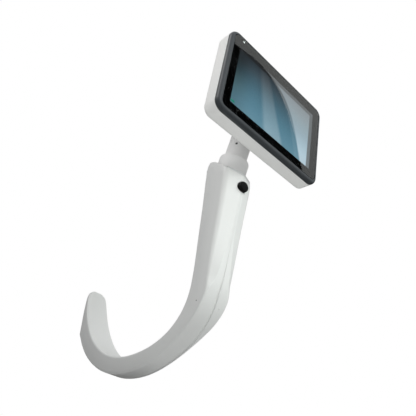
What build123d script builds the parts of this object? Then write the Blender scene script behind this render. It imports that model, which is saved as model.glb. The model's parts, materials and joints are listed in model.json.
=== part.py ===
"""Video laryngoscope: tilting, swivelling monitor on a handle core with a camera
wand, and a J-shaped two-shell blade sleeve.  Millimetres, +Z up, X across the
screen, +Y away from the operator.  Origin: bottom centre of the whole object.

Part dimensions use the monitor's frame: x across from the middle, y (depth) behind
the screen front, z (height) above the screen centre.  The plane helpers below turn
that frame into the object's."""
from build123d import *
from math import cos, radians, sin, sqrt
import os

os.makedirs("parts", exist_ok=True)

# =============================================================== driving dimensions
Y_MID = 86.3          # depth of the bounding-box middle behind the screen front
Z_LIFT = 176.07       # height of the screen centre above the lowest point

# monitor
MON_W, MON_H, MON_R = 100.0, 71.0, 6.75     # outline and its corner radius
BEZEL_D = 3.6                               # depth of the front bezel
SHELL_Y = 14.6                              # rear face of the monitor slab
WALL = 1.8
GLASS_W, GLASS_H, GLASS_R = 94.0, 65.0, 3.8
GLASS_D = 1.4
LCD_W, LCD_H = 81.0, 51.0                   # lit area
PANEL_W, PANEL_H = 84.8, 54.8               # LCD panel and backlight
LED_PLACE = (-38.6, 31.1)                   # status LED, x and z
BOARD_BACK, BOARD_D = 7.8, 1.6
BOARD_FRONT = BOARD_BACK - BOARD_D
POWER_X, POWER_Y = 30.0, 9.0                # power button on the top wall
SOCKET_PLACE = (9.4, -8.0)                  # charging socket on the right wall, y and z
FLAP_PLACE = (8.2, -8.0)
FLAP_W, FLAP_H = 6.8, 14.0
FLAP_HINGE_Z = -15.05

# screw patterns, full spacing in x and z
CORNER_GRID = (89.2, 60.2)
BOARD_GRID = (72, 44)
BRACKET_GRID = (37, 9)

# hinge hump behind the monitor, and the tilt hinge in it
HUMP_X, HUMP_Y = 25.0, 36.5                 # half width and rear face
HUMP_Z0, HUMP_Z1 = -10.5, 24.0
SLOT_X = 8.5                                # half width of the neck slot
BRACKET_BACK, BRACKET_D = 16.6, 1.6
BRACKET_W, BRACKET_H = 43, 14.4
TILT = (27.28, -3.0)                        # tilt pin centre, y and z
PIN_R, KNUCKLE_R = 2.5, 5.2

# neck and swivel
NECK_Y, NECK_Z = 33.2, -30.4                # foot of the neck on its axis
NECK_LEAN = 12.2                            # lean towards the operator, degrees
NECK_R, COLLAR_R = 7.85, 10.45
SEAM_H, TILT_H = 12.7, 28.03                # neck seam and tilt pin, measured up the neck
SHAFT_FOOT, SHAFT_R = -19.0, 4.45
COLLAR_H = 13.5
SET_SCREW_H, SET_SCREW_TURN = 8.9, 213      # height up the neck, degrees round it

# blade sleeve, handle core and lock button
SLEEVE_W = 1.35                             # sleeve wall
CORE_GAP = 0.45                             # sleeve to handle core
CORE_WALL = 2.0
CORE_SCREWS = ((40.5, -76), (33.5, -108))   # y and z
BUTTON_Z, BUTTON_R = -58.5, 4.5
BUTTON_Y = 19.5                             # front face of the button

# camera at the end of the wand
CAM_Y, CAM_Z = 158.6, -139.9                # housing centre
CAM_LOOK = 25.5                             # degrees above the horizontal
CAM_LED_X = 3.4                             # LED to lens, across the housing


# =============================================================== planes and helpers
def side(x):
    """Plane across the object: local x is depth, local y is height."""
    return Plane(origin=(x, -Y_MID, Z_LIFT), x_dir=(0, 1, 0), z_dir=(1, 0, 0))


def front(y):
    """Plane parallel to the screen: local x across, local y height, normal to the operator."""
    return Plane(origin=(0, y - Y_MID, Z_LIFT), x_dir=(1, 0, 0), z_dir=(0, -1, 0))


def level(x, y, z):
    """Horizontal plane centred on a point."""
    return Plane(origin=(x, y - Y_MID, z + Z_LIFT))


def flap_hinge(y):
    """Plane square to the flap's hinge barrel, normal away from the operator."""
    return Plane(
        origin=(MON_W / 2, y - Y_MID, Z_LIFT + FLAP_HINGE_Z), x_dir=(1, 0, 0), z_dir=(0, 1, 0)
    )


def neck(height):
    """Plane square to the neck axis, height up from the neck foot."""
    lean = radians(NECK_LEAN)
    return Plane(
        origin=(
            0,
            NECK_Y - height * sin(lean) - Y_MID,
            NECK_Z + height * cos(lean) + Z_LIFT,
        ),
        x_dir=(1, 0, 0),
        z_dir=(0, -sin(lean), cos(lean)),
    )


def set_screw_plane():
    """Plane outside the neck, facing its axis along the set screw."""
    turn = radians(SET_SCREW_TURN)
    base = neck(SET_SCREW_H)
    return Plane(
        origin=base.from_local_coords((10 * cos(turn), 10 * sin(turn), 0)),
        z_dir=base.from_local_coords((-cos(turn), -sin(turn), 0)) - base.origin,
    )


def camera(ahead):
    """Plane square to the camera axis, ahead of the housing centre."""
    look = radians(CAM_LOOK)
    return Plane(
        origin=(0, CAM_Y + ahead * cos(look) - Y_MID, CAM_Z + ahead * sin(look) + Z_LIFT),
        x_dir=(1, 0, 0),
        z_dir=(0, cos(look), sin(look)),
    )


def corner_places():
    return GridLocations(*CORNER_GRID, 2, 2)


def board_places():
    return GridLocations(*BOARD_GRID, 2, 2)


def bracket_places():
    return GridLocations(*BRACKET_GRID, 2, 2)


def core_places():
    return Locations(*CORE_SCREWS)


def cross(length, width):
    """Cross recess, drawn in the current sketch."""
    Rectangle(length, width)
    Rectangle(width, length)


def screw_set(places, head, shank, recess):
    """Cross-head screws.  head and shank: plane, radius, length.
    recess: plane, cross length, cross width, depth."""
    with BuildPart() as piece:
        for plane, radius, length in (head, shank):
            with BuildSketch(plane):
                with places():
                    Circle(radius)
            extrude(amount=length)
        plane, cross_length, cross_width, depth = recess
        with BuildSketch(plane):
            with places():
                cross(cross_length, cross_width)
        extrude(amount=depth, mode=Mode.SUBTRACT)
    return piece


def keep(piece, name):
    piece.part.label = name
    export_step(piece.part, f"parts/{name}.step")


# =============================================================== monitor
def rear_shell():
    post_root = SHELL_Y - WALL + 0.2
    hump_root = HUMP_Y - WALL + 0.2
    hump_mid = (HUMP_Z0 + HUMP_Z1) / 2
    hump_h = HUMP_Z1 - HUMP_Z0
    with BuildPart() as piece:
        # outer slab and hump
        with BuildSketch(front(SHELL_Y)):
            RectangleRounded(MON_W, MON_H, MON_R)
        extrude(amount=SHELL_Y - BEZEL_D)
        fillet(piece.faces().sort_by(Axis.Y)[-1].edges(), radius=3.0)
        with BuildSketch(front(HUMP_Y)):
            with Locations((0, hump_mid)):
                RectangleRounded(2 * HUMP_X, hump_h, 4.0)
        extrude(amount=HUMP_Y - SHELL_Y + 0.5)
        fillet(piece.faces().sort_by(Axis.Y)[-1].edges(), radius=3.0)
        # hollows
        with BuildSketch(front(BEZEL_D)):
            RectangleRounded(MON_W - 2 * WALL, MON_H - 2 * WALL, MON_R - WALL)
        extrude(amount=-(SHELL_Y - BEZEL_D - WALL), mode=Mode.SUBTRACT)
        with BuildSketch(front(SHELL_Y - WALL - 0.1)):
            with Locations((0, hump_mid)):
                RectangleRounded(2 * (HUMP_X - WALL), hump_h - 2 * WALL, 2.4)
        extrude(amount=-(HUMP_Y - SHELL_Y + 0.1), mode=Mode.SUBTRACT)
        # slot that lets the neck swing from below to the rear
        with BuildSketch(side(0)):
            with BuildLine():
                Polyline((17.8, -13), (17.8, -7), (25, 8), (40, 8), (40, -13), close=True)
            make_face()
        extrude(amount=SLOT_X, both=True, mode=Mode.SUBTRACT)
        # corner screw posts, board posts, bracket bosses: places, root, radius, front end
        for places, root, radius, end in (
            (corner_places, post_root, 2.7, 8.1),
            (board_places, post_root, 2.2, BOARD_BACK + 0.05),
            (bracket_places, hump_root, 2.4, BRACKET_BACK + 0.05),
        ):
            with BuildSketch(front(root)):
                with places():
                    Circle(radius)
            extrude(amount=root - end)
        # screw holes: places, start depth, radius, length towards the operator
        for places, start, radius, length in (
            (corner_places, SHELL_Y + 1, 2.1, SHELL_Y + 1 - 10.5),
            (corner_places, SHELL_Y, 1.1, SHELL_Y - 8.0),
            (board_places, BOARD_BACK, 0.85, -4.0),
            (bracket_places, BRACKET_BACK, 1.05, -7.0),
        ):
            with BuildSketch(front(start)):
                with places():
                    Circle(radius)
            extrude(amount=length, mode=Mode.SUBTRACT)
        # flap recess and charging socket opening on the right-hand wall
        with BuildSketch(side(MON_W / 2)):
            with Locations(FLAP_PLACE):
                RectangleRounded(FLAP_W + 0.2, FLAP_H + 0.2, 1.2)
        extrude(amount=-1.3, mode=Mode.SUBTRACT)
        with BuildSketch(side(MON_W / 2)):
            with Locations(SOCKET_PLACE):
                RectangleRounded(3.6, 9.4, 1.6)
        extrude(amount=-4.0, mode=Mode.SUBTRACT)
        # groove for the flap's hinge barrel
        with BuildSketch(flap_hinge(5.0)):
            Circle(0.55)
        extrude(amount=6.4, mode=Mode.SUBTRACT)
        # power button hole on the top wall
        with BuildSketch(level(POWER_X, POWER_Y, MON_H / 2)):
            Circle(3.05)
        extrude(amount=-3.0, mode=Mode.SUBTRACT)
    return piece


def front_bezel():
    post_back = 8.0
    with BuildPart() as piece:
        with BuildSketch(front(BEZEL_D)):
            RectangleRounded(MON_W, MON_H, MON_R)
        extrude(amount=BEZEL_D)
        fillet(piece.faces().sort_by(Axis.Y)[0].edges(), radius=2.6)
        # glass recess, then the panel opening
        with BuildSketch(front(0)):
            RectangleRounded(GLASS_W + 0.1, GLASS_H + 0.1, GLASS_R)
        extrude(amount=-1.6, mode=Mode.SUBTRACT)
        with BuildSketch(front(GLASS_D)):
            RectangleRounded(PANEL_W + 0.4, PANEL_H + 0.4, 1.0)
        extrude(amount=-3.0, mode=Mode.SUBTRACT)
        # corner posts with blind screw holes
        with BuildSketch(front(post_back)):
            with corner_places():
                Circle(2.3)
        extrude(amount=4.5)
        with BuildSketch(front(post_back)):
            with corner_places():
                Circle(1.05)
        extrude(amount=5.4, mode=Mode.SUBTRACT)
        # status LED hole
        with BuildSketch(front(4.0)):
            with Locations(LED_PLACE):
                Circle(1.05)
        extrude(amount=3.0, mode=Mode.SUBTRACT)
    return piece


def cover_glass():
    with BuildPart() as piece:
        with BuildSketch(front(GLASS_D)):
            RectangleRounded(GLASS_W, GLASS_H, GLASS_R - 0.05)
        extrude(amount=GLASS_D)
        chamfer(piece.faces().sort_by(Axis.Y)[0].edges(), length=0.2)
    return piece


def screen_mask():
    with BuildPart() as piece:
        with BuildSketch(front(1.53)):
            RectangleRounded(GLASS_W - 0.4, GLASS_H - 0.4, GLASS_R - 0.25)
            RectangleRounded(LCD_W, LCD_H, 0.4, mode=Mode.SUBTRACT)
            with Locations(LED_PLACE):
                Circle(1.0, mode=Mode.SUBTRACT)
        extrude(amount=0.12)
    return piece


def lcd_panel():
    with BuildPart() as piece:
        with BuildSketch(front(3.5)):
            Rectangle(PANEL_W, PANEL_H)
        extrude(amount=1.9)
        chamfer(piece.edges().filter_by(Axis.Y), length=0.4)
    return piece


def lcd_backlight():
    back = 4.9
    with BuildPart() as piece:
        with BuildSketch(front(back)):
            RectangleRounded(PANEL_W, PANEL_H, 0.8)
        extrude(amount=1.3)
        # four shallow pockets in the rear face
        with BuildSketch(front(back)):
            with GridLocations(40, 26, 2, 2):
                RectangleRounded(30, 18, 2)
        extrude(amount=0.3, mode=Mode.SUBTRACT)
    return piece


def status_led():
    with BuildPart() as piece:
        # body, then the narrower lens: rear face, radius, length
        for back, radius, length in ((5.9, 1.5, 1.7), (4.3, 0.9, 2.88)):
            with BuildSketch(front(back)):
                with Locations(LED_PLACE):
                    Circle(radius)
            extrude(amount=length)
    return piece


def main_board():
    with BuildPart() as piece:
        with BuildSketch(front(BOARD_BACK)):
            Rectangle(84, 56)
            # corner tab behind the status LED
            with Locations((-37.4, 29.6)):
                Rectangle(6, 6.4)
            with board_places():
                Circle(1.15, mode=Mode.SUBTRACT)
            # notch in the lower edge
            with Locations((0, -27)):
                Rectangle(18, 4, mode=Mode.SUBTRACT)
        extrude(amount=BOARD_D)
    return piece


def board_screws():
    return screw_set(
        board_places,
        head=(front(BOARD_FRONT), 1.7, 0.9),
        shank=(front(BOARD_FRONT), 0.8, -4.5),
        recess=(front(BOARD_FRONT - 0.9), 1.8, 0.4, -0.45),
    )


# centre x and z, width and height
CHIPS = [
    ((-20, 6), (14, 14)), ((-20, -14), (10, 8)),
    ((18, -14), (12, 9)), ((20, 15), (8, 6)),
]


def board_chips():
    with BuildPart() as piece:
        with BuildSketch(front(BOARD_BACK + 1.6)):
            for place, (width, height) in CHIPS:
                with Locations(place):
                    Rectangle(width, height)
        extrude(amount=1.6)
        chamfer(piece.faces().sort_by(Axis.Y)[-4:].edges(), length=0.25)
    return piece


def cable_socket():
    back, place = 11.4, (0, 8)
    with BuildPart() as piece:
        with BuildSketch(front(back)):
            with Locations(place):
                Rectangle(12, 5)
        extrude(amount=back - BOARD_BACK)
        with BuildSketch(front(back)):
            with Locations(place):
                Rectangle(10, 3)
        extrude(amount=2.4, mode=Mode.SUBTRACT)
    return piece


def charge_socket():
    mouth_x, length, floor = 48.4, 7.2, 1.0
    with BuildPart() as piece:
        with BuildSketch(side(mouth_x)):
            with Locations(SOCKET_PLACE):
                RectangleRounded(3.1, 8.9, 1.4)
        extrude(amount=-length)
        with BuildSketch(side(mouth_x)):
            with Locations(SOCKET_PLACE):
                RectangleRounded(2.5, 8.3, 1.2)
        extrude(amount=floor - length, mode=Mode.SUBTRACT)
        # tongue
        with BuildSketch(side(42.5)):
            with Locations(SOCKET_PLACE):
                Rectangle(0.7, 6.6)
        extrude(amount=4.6)
    return piece


def socket_flap():
    with BuildPart() as piece:
        with BuildSketch(side(MON_W / 2)):
            with Locations(FLAP_PLACE):
                RectangleRounded(FLAP_W, FLAP_H, 1.1)
        extrude(amount=-1.2)
        chamfer(piece.faces().sort_by(Axis.X)[0].edges().sort_by(Axis.Z)[0], length=1.1)
        # raised bar near the upper edge
        with BuildSketch(side(MON_W / 2)):
            with Locations((FLAP_PLACE[0], -3.2)):
                SlotOverall(4.4, 1.4)
        extrude(amount=0.45)
        # hinge barrel along the lower edge
        with BuildSketch(flap_hinge(5.2)):
            Circle(0.42)
        extrude(amount=6.0)
    return piece


def power_button():
    with BuildPart() as piece:
        with BuildSketch(level(POWER_X, POWER_Y, MON_H / 2 - 2.6)):
            Circle(2.95)
        extrude(amount=3.3)
        fillet(piece.faces().sort_by(Axis.Z)[-1].edges(), radius=0.6)
        # flange inside the wall
        with BuildSketch(level(POWER_X, POWER_Y, MON_H / 2 - 3.1)):
            Circle(3.6)
        extrude(amount=0.8)
    return piece


def power_switch():
    body_z, body_h = 28.3, 3.6
    with BuildPart() as piece:
        with BuildSketch(front(10.6)):
            with Locations((POWER_X, body_z)):
                Rectangle(6, body_h)
        extrude(amount=2.75)
        # plunger
        with BuildSketch(level(POWER_X, 9.2, body_z + body_h / 2)):
            Circle(1.0)
        extrude(amount=1.4)
    return piece


def battery_pack():
    with BuildPart() as piece:
        with BuildSketch(front(33.2)):
            with Locations((0, 15.6)):
                RectangleRounded(43, 11.4, 3.0)
        extrude(amount=15.8)
        fillet(piece.faces().sort_by(Axis.Y)[-1].edges(), radius=1.2)
    return piece


def shell_screws():
    head_back = 12.2
    return screw_set(
        corner_places,
        head=(front(head_back), 1.9, 1.65),
        shank=(front(10.6), 1.0, 7.4),
        recess=(front(head_back), 2.0, 0.45, 0.8),
    )


# =============================================================== tilt hinge
def hinge_bracket():
    arm_root, arm_d = 16.0, 1.8
    y, z = TILT
    with BuildPart() as piece:
        with BuildSketch(front(BRACKET_BACK)):
            RectangleRounded(BRACKET_W, BRACKET_H, 2)
            with bracket_places():
                Circle(1.2, mode=Mode.SUBTRACT)
        extrude(amount=BRACKET_D)
        # two arms with round ends
        with BuildSketch(side(9.1), side(-9.1 - arm_d)):
            with BuildLine():
                Polyline(
                    (arm_root, -BRACKET_H / 2), (y, z - KNUCKLE_R),
                    (y, z + KNUCKLE_R), (arm_root, BRACKET_H / 2), close=True,
                )
            make_face()
            with Locations(TILT):
                Circle(KNUCKLE_R)
        extrude(amount=arm_d)
        with BuildSketch(side(-15)):
            with Locations(TILT):
                Circle(PIN_R + 0.02)
        extrude(amount=30, mode=Mode.SUBTRACT)
    return piece


def bracket_screws():
    head_back, head_d = 14.95, 1.5
    return screw_set(
        bracket_places,
        head=(front(head_back), 2.0, head_d),
        shank=(front(BRACKET_BACK - BRACKET_D), 1.0, -7.5),
        recess=(front(head_back - head_d), 2.2, 0.45, -0.7),
    )


def tilt_pin():
    half_length, head_x, head_d = 12.2, 11.2, 1.4
    with BuildPart() as piece:
        with BuildSketch(side(-half_length)):
            with Locations(TILT):
                Circle(PIN_R)
        extrude(amount=2 * half_length)
        with BuildSketch(side(head_x), side(-head_x - head_d)):
            with Locations(TILT):
                Circle(3.4)
        extrude(amount=head_d)
        for end in (-1, 0):
            rims = piece.edges().filter_by(GeomType.CIRCLE).sort_by(Axis.X)
            chamfer(rims[end], length=0.4)
    return piece


def tilt_washers():
    inner_x, thickness = 7.95, 1.0
    with BuildPart() as piece:
        with BuildSketch(side(inner_x), side(-inner_x - thickness)):
            with Locations(TILT):
                Circle(KNUCKLE_R)
                Circle(PIN_R + 0.08, mode=Mode.SUBTRACT)
        extrude(amount=thickness)
    return piece


def neck_head():
    foot = SEAM_H + 0.12
    half_width = 7.8
    with BuildPart() as piece:
        with BuildSketch(neck(foot)):
            Circle(NECK_R)
        extrude(amount=TILT_H - SEAM_H - 3.0)
        with BuildSketch(side(-half_width)):
            with Locations(TILT):
                Circle(6.4)
        extrude(amount=2 * half_width)
        # trim the knuckle to the round of the neck
        with BuildSketch(neck(foot)):
            Circle(NECK_R)
        extrude(amount=TILT_H - SEAM_H + 8, mode=Mode.INTERSECT)
        seam_face = piece.faces().filter_by(GeomType.PLANE).sort_by(Axis.Z)[0]
        chamfer(seam_face.edges(), length=0.25)
        # tilt pin bore, shaft socket, cable bore
        with BuildSketch(side(-12)):
            with Locations(TILT):
                Circle(PIN_R + 0.06)
        extrude(amount=24, mode=Mode.SUBTRACT)
        for radius, length in ((SHAFT_R + 0.05, 4.2), (1.7, 11.0)):
            with BuildSketch(neck(SEAM_H - 1)):
                Circle(radius)
            extrude(amount=length, mode=Mode.SUBTRACT)
    return piece


# =============================================================== neck and swivel
def neck_tube():
    foot = 0.25
    with BuildPart() as piece:
        with BuildSketch(neck(foot)):
            Circle(NECK_R)
            Circle(SHAFT_R + 0.05, mode=Mode.SUBTRACT)
        extrude(amount=SEAM_H - foot)
        top_rims = piece.edges().filter_by(GeomType.CIRCLE).sort_by(Axis.Z)[-2:]
        chamfer(top_rims.sort_by(SortBy.RADIUS)[-1], length=0.25)
        with BuildSketch(set_screw_plane()):
            Circle(0.95)
        extrude(amount=5.6, mode=Mode.SUBTRACT)
    return piece


def neck_set_screw():
    with BuildPart() as piece:
        # outer end with its hexagon socket, then the solid inner end
        with BuildSketch(set_screw_plane().offset(3.0)):
            Circle(0.9)
            RegularPolygon(0.5, 6, mode=Mode.SUBTRACT)
        extrude(amount=1.0)
        with BuildSketch(set_screw_plane().offset(4.0)):
            Circle(0.9)
        extrude(amount=1.4)
    return piece


def swivel_shaft():
    with BuildPart() as piece:
        with BuildSketch(neck(SHAFT_FOOT)):
            Circle(SHAFT_R)
        extrude(amount=-SHAFT_FOOT + SEAM_H + 2.9)
        # clip groove
        with BuildSketch(neck(-16.5)):
            Circle(6)
            Circle(4.0, mode=Mode.SUBTRACT)
        extrude(amount=1.1, mode=Mode.SUBTRACT)
        # cable bore
        with BuildSketch(neck(SHAFT_FOOT - 1)):
            Circle(2.4)
        extrude(amount=40, mode=Mode.SUBTRACT)
        foot_rims = piece.edges().filter_by(GeomType.CIRCLE).sort_by(Axis.Z)[:2]
        chamfer(foot_rims.sort_by(SortBy.RADIUS)[-1], length=0.5)
    return piece


def swivel_collar():
    with BuildPart() as piece:
        with BuildSketch(neck(-COLLAR_H)):
            Circle(COLLAR_R)
        extrude(amount=COLLAR_H)
        fillet(piece.edges().filter_by(GeomType.CIRCLE).sort_by(Axis.Z)[-1], radius=2.6)
        # bush pocket, then the shaft bore
        for radius, length in ((6.55, 12.0), (4.7, 20)):
            with BuildSketch(neck(-COLLAR_H - 0.5)):
                Circle(radius)
            extrude(amount=length, mode=Mode.SUBTRACT)
    return piece


def neck_ring(foot, height, outer_r, bore_r):
    """Plain ring round the neck axis."""
    with BuildPart() as piece:
        with BuildSketch(neck(foot)):
            Circle(outer_r)
            Circle(bore_r, mode=Mode.SUBTRACT)
        extrude(amount=height)
    return piece


def swivel_bush():
    return neck_ring(foot=-COLLAR_H, height=11.4, outer_r=6.5, bore_r=SHAFT_R + 0.05)


def swivel_washer():
    return neck_ring(foot=-15.3, height=1.65, outer_r=7.6, bore_r=SHAFT_R + 0.1)


def swivel_clip():
    with BuildPart() as piece:
        with BuildSketch(neck(-16.4)):
            Circle(6.6)
            Circle(4.05, mode=Mode.SUBTRACT)
            # gap on the operator's side
            with Locations((0, -5.5)):
                Rectangle(3.2, 6, mode=Mode.SUBTRACT)
        extrude(amount=0.9)
    return piece


def neck_cable():
    with BuildPart() as piece:
        with BuildSketch(neck(-24)):
            Circle(1.3)
        extrude(amount=46)
    return piece


# =============================================================== blade sleeve
# Six-sided sections.  "Inner" is the side inside the J, "outer" the side outside it.
# inner point (y, z), outer point (y, z), inner half width, half width at the side
# edges, side edges to outer face, outer half width, radius of one pair of corners
HANDLE = [
    ((49.4, -28), (20.2, -28), 12.9, 12.9, 5.6, 2.0, 3.6),
    ((47.8, -50), (20.2, -50), 12.6, 12.6, 5.6, 2.0, 3.6),
    ((46.4, -62), (20.6, -62), 11.9, 11.9, 5.4, 2.0, 3.4),
    ((45.9, -75), (21.8, -75), 11.2, 11.2, 4.5, 2.0, 3.2),
    ((45.0, -90), (22.8, -90), 10.8, 10.8, 3.8, 2.1, 3.0),
    ((43.5, -105), (23.4, -105), 10.5, 10.5, 3.8, 2.3, 2.6),
    ((42.5, -118), (24.1, -118), 10.1, 10.1, 3.7, 2.8, 2.2),
    ((42.4, -126), (25.0, -127.2), 9.8, 9.6, 2.6, 4.6, 1.9),
]
BEND = [
    ((42.7, -133.5), (28.0, -138.0), 9.5, 8.6, 1.6, 7.0, 1.6),
    ((44.6, -141.0), (34.0, -146.8), 9.3, 8.3, 1.4, 7.2, 1.4),
    ((49.3, -148.6), (42.0, -153.8), 9.3, 7.6, 1.4, 6.6, 1.3),
    ((56.7, -155.2), (51.5, -160.6), 9.3, 6.9, 1.4, 5.9, 1.2),
    ((65.4, -159.9), (62.0, -166.8), 9.4, 6.5, 1.4, 5.5, 1.2),
    ((74.7, -163.2), (72.5, -171.0), 9.5, 6.5, 1.4, 5.4, 1.2),
    ((85.0, -165.3), (83.8, -174.2), 9.6, 6.5, 1.4, 5.4, 1.2),
    ((97.0, -166.4), (97.3, -176.0), 9.8, 6.5, 1.4, 5.4, 1.2),
    ((109.8, -165.0), (112.5, -175.2), 9.9, 6.5, 1.4, 5.4, 1.2),
    ((120.0, -161.9), (125.5, -172.3), 10.1, 6.5, 1.4, 5.4, 1.2),
    ((130.0, -157.0), (138.5, -167.0), 10.4, 6.6, 1.4, 5.5, 1.2),
    ((139.0, -151.0), (149.5, -160.7), 10.5, 6.7, 1.4, 5.6, 1.2),
    ((147.0, -143.8), (158.7, -153.1), 10.4, 6.9, 1.4, 5.8, 1.2),
    ((153.3, -136.6), (166.2, -144.6), 10.2, 7.2, 1.4, 6.1, 1.2),
]
TIP = [
    BEND[-1],
    ((158.5, -129.8), (168.0, -133.5), 10.0, 7.8, 1.3, 6.9, 1.1),
    ((163.2, -122.4), (169.6, -124.0), 9.7, 8.2, 1.1, 7.5, 0.9),
    ((166.6, -115.6), (170.9, -115.6), 9.3, 8.4, 0.9, 7.9, 0.7),
    ((168.4, -110.8), (171.7, -110.2), 8.2, 7.6, 0.8, 7.1, 0.6),
    ((169.1, -108.6), (171.9, -108.0), 6.2, 5.7, 0.7, 5.2, 0.5),
]
# side-view curves, y and z
TOP_CUT = [
    (50.2, -39.4), (48.8, -37.4), (46.9, -35.8), (44.6, -35.2), (41.5, -36.2), (36, -39.5),
    (30, -43.6), (25.4, -47.0), (22.0, -49.3), (19.6, -51.2), (18.0, -53.0),
]
WINDOW_INNER = [(166.9, -143.0), (168.2, -133.2), (169.85, -123.8), (171.2, -114.6)]
WINDOW_OUTER = [(172.6, -117.6), (171.6, -126.0), (170.0, -134.5), (168.4, -141.2)]


def station(inner, outer):
    """Plane of one section, local y from inner to outer point, and their distance."""
    depth = sqrt((outer[0] - inner[0]) ** 2 + (outer[1] - inner[1]) ** 2)
    along_y, along_z = (outer[0] - inner[0]) / depth, (outer[1] - inner[1]) / depth
    plane = Plane(
        origin=(0, inner[0] - Y_MID, inner[1] + Z_LIFT),
        x_dir=(1, 0, 0),
        z_dir=(0, -along_z, along_y),
    )
    return plane, depth


def hexagon(inner_half, side_half, outer_half, inner_y, side_y, outer_y):
    return [
        (-inner_half, inner_y), (inner_half, inner_y), (side_half, side_y),
        (outer_half, outer_y), (-outer_half, outer_y), (-side_half, side_y),
    ]


def inset_hexagon(inner_half, side_half, depth, side_drop, outer_half, inset):
    """Section outline moved inwards by the inset."""
    slope = (inner_half - side_half) / max(depth - side_drop, 1)
    return hexagon(
        inner_half - inset * (1 + slope),
        side_half - inset * 1.05,
        max(outer_half - 0.55 * inset, 1.0),
        inset,
        depth - side_drop - 0.25 * inset,
        depth - inset,
    )


def outer_loft(stations, end=None):
    """Loft through the rounded sections, with an end solid added if given."""
    with BuildPart() as body:
        for inner, outer, inner_half, side_half, side_drop, outer_half, radius in stations:
            plane, depth = station(inner, outer)
            with BuildSketch(plane) as section:
                with BuildLine():
                    Polyline(
                        *hexagon(inner_half, side_half, outer_half, 0, depth - side_drop, depth),
                        close=True,
                    )
                make_face()
                corners = section.vertices().sort_by(
                    lambda v: (Vector(v) - plane.origin).dot(plane.y_dir)
                )
                fillet(corners[:2], radius)
        loft()
        if end is not None:
            add(end)
    return body.part


def inset_loft(stations, inset, end=None):
    """Loft through the sharp inset sections, with an end solid added if given."""
    with BuildPart() as body:
        for inner, outer, inner_half, side_half, side_drop, outer_half, _ in stations:
            plane, depth = station(inner, outer)
            with BuildSketch(plane):
                with BuildLine():
                    Polyline(
                        *inset_hexagon(
                            inner_half, side_half, depth, side_drop, outer_half, inset
                        ),
                        close=True,
                    )
                make_face()
        loft()
        if end is not None:
            add(end)
    return body.part


def tip_window():
    """Clear window over the distal opening, with a plug that enters it."""
    with BuildPart() as piece:
        with BuildSketch(side(0)):
            with BuildLine():
                Polyline(*WINDOW_INNER)
                Spline(WINDOW_INNER[-1], *WINDOW_OUTER, WINDOW_INNER[0])
            make_face()
        extrude(amount=6.0, both=True)
        with BuildSketch(side(0)):
            with BuildLine():
                Polyline(
                    (165.6, -137.6), (168.3, -138.4), (170.2, -125.6), (167.3, -126.4), close=True
                )
            make_face()
        extrude(amount=4.4, both=True)
    return piece


def sleeve(window):
    """Both blade shells in one, cut to receive the window."""
    envelope = outer_loft(HANDLE + BEND, end=outer_loft(TIP))
    cavity = inset_loft(HANDLE + BEND, SLEEVE_W, end=inset_loft(TIP[:2], SLEEVE_W))
    with BuildPart() as shells:
        add(envelope)
        add(cavity, mode=Mode.SUBTRACT)
        # slanted, rounded top cut
        with BuildSketch(side(0)):
            with BuildLine():
                Polyline((60, -20), (60, -39.4), TOP_CUT[0])
                Spline(*TOP_CUT)
                Polyline(TOP_CUT[-1], (5, -53.0), (5, -20), (60, -20))
            make_face()
        extrude(amount=20, both=True, mode=Mode.SUBTRACT)
        # opening for the lock button
        with BuildSketch(front(30)):
            with Locations((0, BUTTON_Z)):
                Circle(BUTTON_R + 0.45)
        extrude(amount=20, mode=Mode.SUBTRACT)
        # distal opening under the window
        with BuildSketch(side(0)):
            with BuildLine():
                Polyline(
                    (162.9, -137.9), (169.5, -139.4), (171.5, -124.7), (164.9, -127.1), close=True
                )
            make_face()
        extrude(amount=4.5, both=True, mode=Mode.SUBTRACT)
        add(window, mode=Mode.SUBTRACT)
    return shells.part


def blade_shell(shells, hand):
    """One shell (hand: +1 right, -1 left).  The seam drifts to the right along the blade."""
    seam_plane = Plane(origin=(0, -Y_MID, Z_LIFT), x_dir=(1, 0, 0), z_dir=(0, 0.76, 0.65))
    near_x = 0.04 * hand
    far_x = 4.9 + 0.04 * hand
    edge_x = 60 * hand
    with BuildPart() as piece:
        add(shells)
        with BuildSketch(seam_plane):
            with BuildLine():
                Polyline(
                    (near_x, -150), (near_x, 121), (far_x, 153), (far_x, 300),
                    (edge_x, 300), (edge_x, -150), close=True,
                )
            make_face()
        extrude(amount=300, both=True, mode=Mode.INTERSECT)
    return piece


# =============================================================== handle core
CORE_STATIONS = HANDLE[:-1]
CORE_INSET = SLEEVE_W + CORE_GAP


def core_hollow():
    with BuildPart() as hollow:
        add(inset_loft(CORE_STATIONS, CORE_INSET + CORE_WALL))
        # solid top and bottom ends
        with BuildSketch(neck(-23.5)):
            Rectangle(80, 80)
        extrude(amount=80, mode=Mode.SUBTRACT)
        with BuildSketch(Plane.XY.offset(Z_LIFT - 114.5)):
            Rectangle(400, 400)
        extrude(amount=-40, mode=Mode.SUBTRACT)
        # spring seat behind the lock button and two screw bosses
        with BuildSketch(front(36.0)):
            with Locations((0, BUTTON_Z)):
                Rectangle(40, 16)
        extrude(amount=2.0, mode=Mode.SUBTRACT)
        with BuildSketch(side(-20)):
            with core_places():
                Circle(2.6)
        extrude(amount=40, mode=Mode.SUBTRACT)
    return hollow.part


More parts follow.
